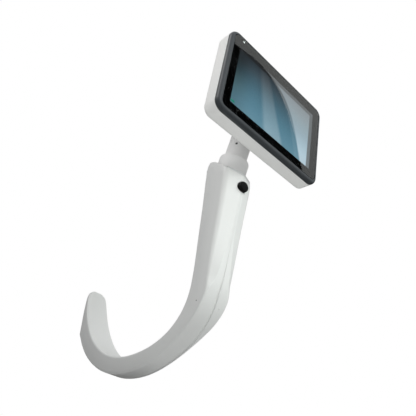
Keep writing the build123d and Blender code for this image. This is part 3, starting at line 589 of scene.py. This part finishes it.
# ------------------------------------------------------------------ sleeve section
SEAM_RANGE = (118.0, 150.0)     # where the seam leaves the middle, along (0.65, -0.76) in y, z
SEAM_OFFSET = 5.3               # how far it ends up to the side
OUTER_GAP, INNER_GAP = 0.045, 0.012     # shift of a half's first and last point off the seam
CROWN = ((0, 84, 118, 160, 215), (1.0, 1.0, 0.40, 0.28, 0.1))   # path distance, flank bulge
FLANK_RADIUS = 140.0


def rounded_corner(before, corner, after, radius, count):
    """count points on the arc that rounds the corner"""
    back, ahead = before - corner, after - corner
    back_length, ahead_length = np.hypot(*back), np.hypot(*ahead)
    back, ahead = back / back_length, ahead / ahead_length
    half = math.acos(np.clip(back @ ahead, -1, 1)) / 2
    setback = min(radius / math.tan(half), 0.45 * back_length, 0.45 * ahead_length)
    fitted = setback * math.tan(half)
    first, last = corner + back * setback, corner + ahead * setback
    bisector = (back + ahead) / np.hypot(*(back + ahead))
    centre = corner + bisector * (fitted / math.sin(half))
    v0, v1 = first - centre, last - centre
    sweep = math.acos(np.clip(v0 @ v1 / (fitted * fitted), -1, 1))
    points = []
    for k in range(count):
        f = k / (count - 1)
        if sweep < 1e-6:
            points.append(first + (last - first) * f)
        else:
            points.append(centre + (math.sin((1 - f) * sweep) * v0 + math.sin(f * sweep) * v1)
                          / math.sin(sweep))
    return points


def between(start, end, steps):
    return [start + (end - start) * (k / steps) for k in range(1, steps)]


def seam_x(y, z):
    return float(np.interp(0.65 * y - 0.76 * z, SEAM_RANGE, (0.0, SEAM_OFFSET)))


@lru_cache(maxsize=None)
def half_profile(s, side, inset):
    """(x, y, z) points of one half's section, from the outer seam round to the inner seam"""
    sec = section_at(s)
    depth = sec.depth
    drop = min(sec.drop, 0.45 * depth)
    crown = float(np.interp(s, *CROWN))
    inner_round, side_round, outer_round = (
        max(r - inset, 0.3) for r in (sec.inner_round, sec.side_round, sec.outer_round))

    # corners as (x, distance outwards from the inner face)
    outer_mid = np.array((0.0, depth - inset))
    outer_edge = np.array((max(sec.outer_half - 0.55 * inset, 0.4), depth - inset))
    side_edge = np.array((sec.side_half - inset, depth - drop - 0.25 * inset))
    taper = (sec.inner_half - sec.side_half) / depth
    inner_edge = np.array((sec.inner_half - 0.5 * crown - inset * (1 + taper), inset))
    inner_mid = np.array((0.0, inset))
    flank = np.array((0.5 * (sec.side_half + sec.inner_half) - inset + 0.95 * crown,
                      inner_edge[1] + 0.56 * (side_edge[1] - inner_edge[1])))

    outer_arc = rounded_corner(outer_mid, outer_edge, side_edge, outer_round, 7)
    side_arc = rounded_corner(outer_edge, side_edge, flank, side_round + 1.2 * crown, 9)
    flank_arc = rounded_corner(side_edge, flank, inner_edge, FLANK_RADIUS, 12)
    inner_arc = rounded_corner(flank, inner_edge, inner_mid, inner_round, 11)

    outer_x = min(seam_x(*sec.outer), outer_arc[0][0] - 0.05) * side
    inner_x = min(seam_x(*sec.inner), inner_arc[-1][0] - 0.3) * side
    start = np.array((outer_x + OUTER_GAP, outer_mid[1]))
    end = np.array((inner_x + INNER_GAP, inner_mid[1]))
    points = np.array(
        [start] + between(start, outer_arc[0], 6)
        + outer_arc + between(outer_arc[-1], side_arc[0], 10)
        + side_arc + between(side_arc[-1], flank_arc[0], 4)
        + flank_arc + between(flank_arc[-1], inner_arc[0], 5)
        + inner_arc + between(inner_arc[-1], end, 10) + [end])
    return np.stack([points[:, 0] * side,
                     sec.inner[0] + sec.outward[0] * points[:, 1],
                     sec.inner[1] + sec.outward[1] * points[:, 1]], 1)


HALF_COUNT = len(half_profile(0.0, 1, 0.0))


def profile_point(z, side, inset, k):
    """point k of the profile near height z; rounding lets neighbours share a profile"""
    return half_profile(round(s_at_height(z), 2), side, inset)[k]


# ------------------------------------------------------------------ sleeve halves
# (y, z) of the slanted rim at the sleeve's upper end
RIM = np.array([
    (17.5, -52.4), (19.4, -50.6), (20.6, -49.8), (22.9, -48.6), (25.9, -47.0), (30.0, -43.9),
    (36.0, -39.5), (40.5, -36.7), (43.5, -35.5), (45.6, -35.3), (47.2, -36.2), (48.6, -38.4)])
JOIN_Z = -64.0          # below this the rows are plain sections of the path
LEAN, LEAN_DEPTH = 1.35, 7.0        # the wall leans inwards by LEAN over the depth to the rim
LIP_THICKNESS, LIP_HEIGHT = 1.0, 0.7
WALL = 1.35             # inset of the inner wall, well below the lip
INNER_WALL_DEPTH = 16.0
TIP_AXIS = np.array((0, 0.16, 0.987))
TIP_BULGE = 0.9
FLANGE = 0.0010         # metres; depth of the seam's inward-turned edges
INNER_FLANGE_ROWS = 60


def lean_at(depth):
    """inward lean of the wall at a depth below the rim"""
    u = clamp((LEAN_DEPTH - depth) / LEAN_DEPTH)
    return round(LEAN * (1 - math.sqrt(1 - u * u)), 3)


def rim_heights(side, inset):
    """height of the rim at each point of the profile"""
    heights = np.empty(HALF_COUNT)
    for k in range(HALF_COUNT):
        z = -42.0
        for _ in range(8):
            x, y, _z = profile_point(z, side, inset, k)
            z = float(np.interp(y, RIM[:, 0], RIM[:, 1]))
            if side > 0:        # the right half sits slightly lower near the outer face
                z -= 0.2 * clamp((31.0 - y) / 6.0) * clamp(abs(x) / 9.0)
        heights[k] = z
    # even out the small kinks of the rim
    for _ in range(2):
        heights[1:-1] = 0.25 * heights[:-2] + 0.5 * heights[1:-1] + 0.25 * heights[2:]
    return heights


def rim_rows(side):
    """rows from inside the handle up over the lip and down the outside to JOIN_Z"""
    outside = lean_at(LIP_HEIGHT)
    inside = outside + LIP_THICKNESS
    z_out = rim_heights(side, outside)
    z_in = rim_heights(side, inside)
    rows = []
    for f in (1.0, 0.7, 0.45, 0.25, 0.12, 0.04):        # inner wall
        inset = round(WALL + (inside - WALL) * max(0.0, 1 - f * 2.2), 3)
        row = []
        for k in range(HALF_COUNT):
            z = (z_in[k] - 0.75) - f * INNER_WALL_DEPTH
            x, y, _z = profile_point(z, side, inset, k)
            row.append(np.array((x, y, z)))
        rows.append(row)
    for q in range(9):                                  # rounded lip
        angle = math.pi * q / 8
        w = 0.5 + 0.5 * math.cos(angle)
        row = []
        for k in range(HALF_COUNT):
            a = profile_point(z_in[k] - LIP_HEIGHT, side, inside, k)
            b = profile_point(z_out[k] - LIP_HEIGHT, side, outside, k)
            x, y, _z = a * w + b * (1 - w)
            z = z_in[k] * w + z_out[k] * (1 - w)
            row.append(np.array((x, y, z - LIP_HEIGHT + LIP_HEIGHT * math.sin(angle))))
        rows.append(row)
    for f in np.linspace(0.15, 1.0, 44) ** 1.5:         # outside
        row = []
        for k in range(HALF_COUNT):
            z_start = z_out[k] - LIP_HEIGHT
            z = z_start + (JOIN_Z - z_start) * f
            x, y, _z = profile_point(z, side, lean_at(z_out[k] - z), k)
            row.append(np.array((x, y, z)))
        rows.append(row)
    return rows


def path_rows(side):
    """rows along the rest of the path, closer at the corner and the tip"""
    stops = [
        *np.arange(s_at_height(JOIN_Z) + 1.2, s_corner - 3, 1.25),
        *np.linspace(s_corner - 2.8, s_corner + 2.4, 15),
        *np.arange(s_corner + 3.2, s_end - 3, 0.9),
        *np.linspace(s_end - 2.9, s_end, 12),
    ]
    return [list(half_profile(s, side, 0.0)) for s in stops]


def tip_rows(last):
    """rounded end cap"""
    last = np.array(last)
    centre = np.array((0.0, last[:, 1].mean(), last[:, 2].mean()))
    rows = []
    for q in (0.35, 0.6, 0.8, 0.93, 1.0):
        shrink = math.sqrt(max(1 - q * q, 0.0))
        shrink_x = 0.25 + 0.75 * shrink if q < 1 else 0.02
        top = centre + TIP_AXIS * TIP_BULGE * q
        rows.append([np.array((p[0] * shrink_x,
                               top[1] + (p[1] - centre[1]) * shrink,
                               top[2] + (p[2] - centre[2]) * shrink)) for p in last])
    return rows


def add_object(name, mesh):
    ob = bpy.data.objects.new(name, mesh)
    bpy.context.scene.collection.objects.link(ob)
    return ob


def fix_normals(mesh, weld=None):
    bm = bmesh.new()
    bm.from_mesh(mesh)
    if weld:
        bmesh.ops.remove_doubles(bm, verts=bm.verts, dist=weld)
    bmesh.ops.recalc_face_normals(bm, faces=bm.faces)
    bm.to_mesh(mesh)
    bm.free()


def build_half(name, side):
    """one half of the sleeve; side is -1 for the left (-X), 1 for the right"""
    rows = rim_rows(side) + path_rows(side)
    rows += tip_rows(rows[-1])
    n = HALF_COUNT
    verts = [tuple(mm_point(*p)) for row in rows for p in row]
    faces = [(i * n + k, i * n + k + 1, (i + 1) * n + k + 1, (i + 1) * n + k)
             for i in range(len(rows) - 1) for k in range(n - 1)]
    # the seam edges turn inwards a little, so the joint reads as a fine groove
    base = len(verts)
    for i, row in enumerate(rows):
        _x, y, z = np.array(row).mean(0)
        centre = np.array(tuple(mm_point(0, y, z)))
        for k in (0, n - 1):
            p = np.array(verts[i * n + k])
            inward = centre - p
            inward[0] = 0
            length = np.hypot(*inward[1:]) or 1e-9
            verts.append(tuple(p + inward / length * min(FLANGE, length * 0.6)))
    for i in range(len(rows) - 1):
        a, d = i * n, (i + 1) * n
        e, h = base + 2 * i, base + 2 * (i + 1)
        faces.append((a, d, h, e))
        if i < INNER_FLANGE_ROWS:
            faces.append((d + n - 1, a + n - 1, e + 1, h + 1))
    if side < 0:
        faces = [face[::-1] for face in faces]
    mesh = bpy.data.meshes.new(name)
    mesh.from_pydata(verts, [], faces)
    mesh.validate()
    fix_normals(mesh, weld=1e-7)
    for poly in mesh.polygons:
        poly.use_smooth = True
    return add_object(name, mesh)


# ------------------------------------------------------------------ small parts
BUTTON_Z = -58.5
OPENING_RADIUS = 4.05
OPENING_Y = (8.0, 23.8)         # depth range of the cutter, through the outer wall only
BUTTON_SEGMENTS = 72
# (radius, y) of the lock button: a domed cap on a stepped skirt
BUTTON_PROFILE = [
    (0.02, 18.62), (0.8, 18.60), (1.6, 18.62), (2.1, 18.70), (2.35, 18.78), (2.6, 18.74),
    (3.0, 18.78), (3.3, 18.92), (3.5, 19.16), (3.6, 19.5), (3.6, 20.4), (3.6, 22.0),
    (3.6, 25.9), (5.2, 26.3), (5.2, 27.3), (3.2, 27.35), (0.02, 27.35)]
RING_RADIUS, RING_THICKNESS = 4.28, 0.34    # raised lip: centre line radius, tube radius
RING_SEGMENTS = 12
WINDOW_START, WINDOW_END = 0.6, 31.0        # tip window, path distance past the corner
WINDOW_HALF, WINDOW_HEIGHT = 6.2, 1.05
WINDOW_STEPS = 24


def make_mesh(name, points, faces):
    mesh = bpy.data.meshes.new(name)
    mesh.from_pydata([tuple(mm_point(*p)) for p in points], [], faces)
    fix_normals(mesh)
    return mesh


def circle(radius, count):
    return [(radius * math.cos(2 * math.pi * k / count), radius * math.sin(2 * math.pi * k / count))
            for k in range(count)]


def loft(name, rows, caps=True):
    """closed rings joined by quads, with smooth sides"""
    n = len(rows[0])
    faces = [(i * n + k, i * n + (k + 1) % n, (i + 1) * n + (k + 1) % n, (i + 1) * n + k)
             for i in range(len(rows) - 1) for k in range(n)]
    if caps:
        faces.append(tuple(range(n))[::-1])
        faces.append(tuple(range((len(rows) - 1) * n, len(rows) * n)))
    mesh = make_mesh(name, [p for row in rows for p in row], faces)
    for poly in mesh.polygons:
        poly.use_smooth = len(poly.vertices) == 4
    return add_object(name, mesh)


def attach(ob, slot, material=None, node="handle"):
    ob.data.materials.append(MATERIALS[material or slot])
    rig.ride(ob, node)
    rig.slot(ob, slot)


def punch_opening(ob, n=64):
    """cut the round opening for the lock button"""
    points = [(x, y, BUTTON_Z + z) for y in OPENING_Y for x, z in circle(OPENING_RADIUS, n)]
    faces = [tuple(range(n))[::-1], tuple(range(n, 2 * n))]
    faces += [(k, (k + 1) % n, (k + 1) % n + n, k + n) for k in range(n)]
    cutter = add_object("punch", make_mesh("punch", points, faces))
    cut = ob.modifiers.new("punch", "BOOLEAN")
    cut.operation = "DIFFERENCE"
    cut.solver = "EXACT"
    cut.object = cutter
    cut.use_hole_tolerant = True
    bpy.context.view_layer.update()
    depsgraph = bpy.context.evaluated_depsgraph_get()
    punched = bpy.data.meshes.new_from_object(ob.evaluated_get(depsgraph))
    ob.modifiers.clear()
    ob.data = punched
    bpy.data.objects.remove(cutter)


def build_button():
    cap = loft("lock_button_cap", [
        [(x, y, BUTTON_Z + z) for x, z in circle(radius, BUTTON_SEGMENTS)]
        for radius, y in BUTTON_PROFILE])
    attach(cap, "rubber_black", node="lock_button")
    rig.replaces(cap, "lock_button")


def build_opening_lip():
    """raised ring round the button opening, following the sleeve's outer face"""
    rows = []
    for k in range(BUTTON_SEGMENTS + 1):
        around = 2 * math.pi * k / BUTTON_SEGMENTS
        ring = []
        for q in range(RING_SEGMENTS):
            tube = 2 * math.pi * q / RING_SEGMENTS
            radius = RING_RADIUS + RING_THICKNESS * math.cos(tube)
            x = radius * math.cos(around)
            z = BUTTON_Z + radius * math.sin(around)
            sec = section_at(s_at_height(z))
            slope = sec.drop / (sec.side_half - sec.outer_half)
            fall = max(abs(x) - sec.outer_half + 0.5, 0.0) * slope
            y = sec.outer[0] + fall * 0.93 + 0.12 - RING_THICKNESS * math.sin(tube)
            ring.append((x, y, z))
        rows.append(ring)
    attach(loft("button_opening_lip", rows, caps=False), "sleeve_white")


def raised_disc(name, centre, across, along, normal, radius, material):
    rows = [[tuple(centre + across * u + along * v + normal * height)
             for u, v in circle(r, 20)]
            for r, height in ((0.05, 0.10), (radius * 0.6, 0.10), (radius, 0.04),
                              (radius * 1.15, -0.25))]
    attach(loft(name, rows), "sleeve_white", material)


def build_marks():
    """two small discs where the handle turns into the blade"""
    # on the left flank
    sec = section_at(114.0)
    share = 0.72            # of the way from the inner to the outer face
    half = sec.inner_half + (sec.side_half - sec.inner_half) * share
    proud = 0.30
    raised_disc("gate_mark",
                centre=np.array((-half - proud, *(sec.inner + sec.outward * sec.depth * share))),
                across=np.array((0, *sec.outward)),
                along=np.array((0, -sec.outward[1], sec.outward[0])),
                normal=np.array((-1.0, 0, 0)), radius=0.33, material="mark_grey")
    # on the outer face, right of the middle
    sec = section_at(113.0)
    raised_disc("dimple_upper",
                centre=np.array((sec.outer_half * 0.55, *sec.outer)),
                across=np.array((1.0, 0, 0)),
                along=np.array((0, -sec.outward[1], sec.outward[0])),
                normal=np.array((0, *sec.outward)), radius=0.42, material="sleeve_white")


def build_window():
    """clear pane let into the outer face between the corner and the tip"""
    rows = []
    for q in range(WINDOW_STEPS + 1):
        f = q / WINDOW_STEPS
        start = s_corner + WINDOW_START
        sec = section_at(start + (s_corner + WINDOW_END - start) * f)
        # both ends round off, over 6 % and 10 % of the length
        end_share = max(1 - f / 0.06, (f - 0.90) / 0.10, 0)
        fullness = min(1.0, math.sqrt(max(1 - end_share ** 2, 0.0)) + 0.02)
        half = min(WINDOW_HALF, sec.outer_half + 0.1) * (0.7 + 0.3 * fullness)
        top = WINDOW_HEIGHT * fullness
        outline = [     # x, height above the outer face
            (-half, -1.0), (-half, 0.35 * top), (-half + 0.15, 0.75 * top), (-half + 0.6, top),
            (-half * 0.4, top * 1.06), (0, top * 1.08), (half * 0.4, top * 1.06),
            (half - 0.6, top), (half - 0.15, 0.75 * top), (half, 0.35 * top), (half, -1.0),
            (0, -1.0)]
        rows.append([(x, *(sec.outer + sec.outward * height)) for x, height in outline])
    pane = loft("tip_window_pane", rows)
    attach(pane, "window_clear")
    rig.replaces(pane, "tip_window")


left = build_half("sleeve_left", -1)
right = build_half("sleeve_right", 1)
for ob in (left, right):
    punch_opening(ob)
build_button()
build_opening_lip()
build_marks()
build_window()
for ob in (left, right):
    attach(ob, "sleeve_white")
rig.replaces(left, "blade_shell_left")
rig.replaces(right, "blade_shell_right")

# ------------------------------------------------------------------ camera
# Rotation vector (radians) and shift (mm) that take a point to the camera's own axes,
# which run right, down and forward.
VIEW_TURN = np.array((1.0262330452657724, -0.24360656227761243, 0.7883714492525015))
VIEW_SHIFT = np.array((46.82292822432612, -68.08225843105446, 328.3747661885766))
LENS, SENSOR_WIDTH = 41.554001, 36      # mm


def view_axes():
    """the camera's right, down and forward directions, as rows"""
    angle = np.linalg.norm(VIEW_TURN)
    x, y, z = VIEW_TURN / angle
    cross = np.array(((0, -z, y), (z, 0, -x), (-y, x, 0)))
    return np.eye(3) + math.sin(angle) * cross + (1 - math.cos(angle)) * cross @ cross


view = view_axes()
camera_place = -view.T @ VIEW_SHIFT
camera_data = bpy.data.cameras.new("camera")
camera = add_object("camera", camera_data)
right_axis, down_axis, forward_axis = view
turn = Matrix(np.column_stack((right_axis, -down_axis, -forward_axis)).tolist())
camera.matrix_world = Matrix.Translation(mm_point(*camera_place)) @ turn.to_4x4()
camera_data.sensor_width = SENSOR_WIDTH
camera_data.sensor_fit = "HORIZONTAL"
camera_data.lens = LENS
camera_data.clip_start = 0.01
camera_data.clip_end = 20
bpy.context.scene.camera = camera

# ------------------------------------------------------------------ stage
FLOOR_Z = -0.0015       # metres
FLOOR_HALF = 2          # metres
# (x, z) on the screen glass where the panel's lower edge is mirrored, then its outer corners
PANEL_EDGE = [
    (-56, 20.0), (-46.2, 21.5), (-40.1, 22.6), (-30.3, 24.6), (-19.6, 24.9), (-11.1, 23.2),
    (-3.5, 19.7), (4.5, 13.8), (13.0, 4.6), (20.3, -6.7), (25.9, -16.6), (28.9, -23.6),
    (31.5, -29.7), (33.5, -36), (36, -46)]
PANEL_CORNERS = [(75, -50), (75, 60), (-60, 60)]
FLAG_CORNERS = [(-140, -120), (150, -120), (150, 120), (-140, 120)]
PANEL_DISTANCE, FLAG_DISTANCE = 4.0, 4.6    # in steps from the mirrored camera to the glass


def stage_polygon(name, verts, mirrored_only):
    """one polygon, seen only in reflections or only outside them"""
    mesh = bpy.data.meshes.new(name)
    mesh.from_pydata([tuple(v) for v in verts], [], [tuple(range(len(verts)))])
    ob = add_object(name, mesh)
    ob.visible_camera = not mirrored_only
    ob.visible_diffuse = not mirrored_only
    ob.visible_glossy = mirrored_only
    ob.visible_shadow = not mirrored_only
    ob.visible_transmission = not mirrored_only
    return ob


def build_floor():
    """pale floor; from below it is transparent, so the low camera looks through it"""
    shader = new_shader("floor_pale")
    blotches = shader.remap(shader.noise(scale=6, detail=4), (0.3, 0.7))
    pale = shader.mix(blotches, (0.82, 0.82, 0.82), (0.79, 0.79, 0.79))
    diffuse_ray = shader.add("LightPath").outputs["Is Diffuse Ray"]
    bsdf = shader.add("BsdfPrincipled", {
        "Base Color": shader.mix(diffuse_ray, pale, (0.38, 0.38, 0.38)),
        "Roughness": 0.8,
        "Emission Color": (1, 1, 1),
        "Emission Strength": 0.25,
    })
    backfacing = shader.add("NewGeometry").outputs["Backfacing"]
    shader.output(shader.mix_shader(backfacing, bsdf, shader.add("BsdfTransparent")))
    h = FLOOR_HALF
    corners = ((-h, -h), (h, -h), (h, h), (-h, h))
    floor = stage_polygon("floor", [(x, y, FLOOR_Z) for x, y in corners], mirrored_only=False)
    floor.data.materials.append(MATERIALS["floor_pale"])
    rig.stage(floor)


def build_reflector(name, outline, distance, material, strength, color=(1, 1, 1)):
    """glowing polygon that the glass mirrors at the outline"""
    shader = new_shader(material)
    emission = shader.add("Emission", {"Color": color, "Strength": strength})
    shader.output(emission.outputs[0])
    x, y, z = camera_place
    mirrored = np.array((x, -y, z))
    verts = [mm_point(*(mirrored + (np.array((gx, 0.0, gz)) - mirrored) * distance))
             for gx, gz in outline]
    ob = stage_polygon(name, verts, mirrored_only=True)
    ob.data.materials.append(MATERIALS[material])
    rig.stage(ob)


def build_world():
    """white to the camera, a soft gradient brighter overhead to everything else"""
    world = bpy.data.worlds.new("studio")
    bpy.context.scene.world = world
    shader = Shader(world)
    seen = shader.add("Background", {"Color": (1, 1, 1), "Strength": 1.0})
    place = shader.add("TexCoord").outputs["Generated"]
    up = shader.add("SeparateXYZ", {0: place}).outputs[2]
    lighting = shader.add("Background", {
        "Color": (0.985, 0.99, 1.0),
        "Strength": shader.remap(up, (0, 1), (0.035, 0.70)),
    })
    camera_ray = shader.add("LightPath").outputs["Is Camera Ray"]
    shader.output(shader.mix_shader(camera_ray, lighting, seen), "OutputWorld")


def area_light(name, place, target, size, power, color, hidden_from=None):
    """square lamp aimed at a target; metres and watts"""
    lamp = bpy.data.lights.new(name, "AREA")
    lamp.shape = "RECTANGLE"
    lamp.size = size
    lamp.size_y = size
    lamp.energy = power
    lamp.color = color
    ob = add_object(name, lamp)
    aim = Vector(target) - Vector(place)
    turn = aim.to_track_quat("-Z", "Y").to_matrix().to_4x4()
    ob.matrix_world = Matrix.Translation(Vector(place)) @ turn
    ob.visible_camera = False
    if hidden_from:
        setattr(ob, "visible_" + hidden_from, False)


build_floor()
build_reflector("bright_panel", PANEL_EDGE + PANEL_CORNERS, PANEL_DISTANCE,
                material="panel_light", strength=0.86, color=(1.0, 0.985, 0.97))
build_reflector("dark_flag", FLAG_CORNERS, FLAG_DISTANCE,
                material="flag_dark", strength=0.012)
build_world()

# kept out of the screen's mirror image
area_light("key_front", place=(0.12, -0.75, 0.62), target=(0, -0.03, 0.12),
           size=0.5, power=6.2, color=(0.955, 1.0, 0.968), hidden_from="glossy")
area_light("near_left_top", place=(-0.30, 0.0, 0.46), target=(-0.02, -0.04, 0.15),
           size=0.16, power=0.26, color=(1, 0.995, 0.99))
area_light("near_left", place=(-0.24, -0.12, 0.21), target=(-0.02, -0.05, 0.16),
           size=0.10, power=0.125, color=(1, 0.995, 0.99), hidden_from="glossy")
# only draws the highlight along the sleeve's outer ridge
area_light("ridge_gloss", place=(-0.10, -0.80, 0.51), target=(0, -0.05, 0.09),
           size=0.40, power=0.8, color=(0.97, 1.0, 0.98), hidden_from="diffuse")
area_light("edge_right", place=(0.75, -0.85, 0.42), target=(0, 0, 0.12),
           size=0.7, power=1.3, color=(0.96, 1.0, 0.98))

bpy.context.scene.view_settings.view_transform = "Standard"
bpy.context.scene.view_settings.look = "None"

box1 = [list(map(float, b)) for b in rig.bounds()]
json.dump({"after_load": box0, "before_finish": box1}, open("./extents.json", "w"))
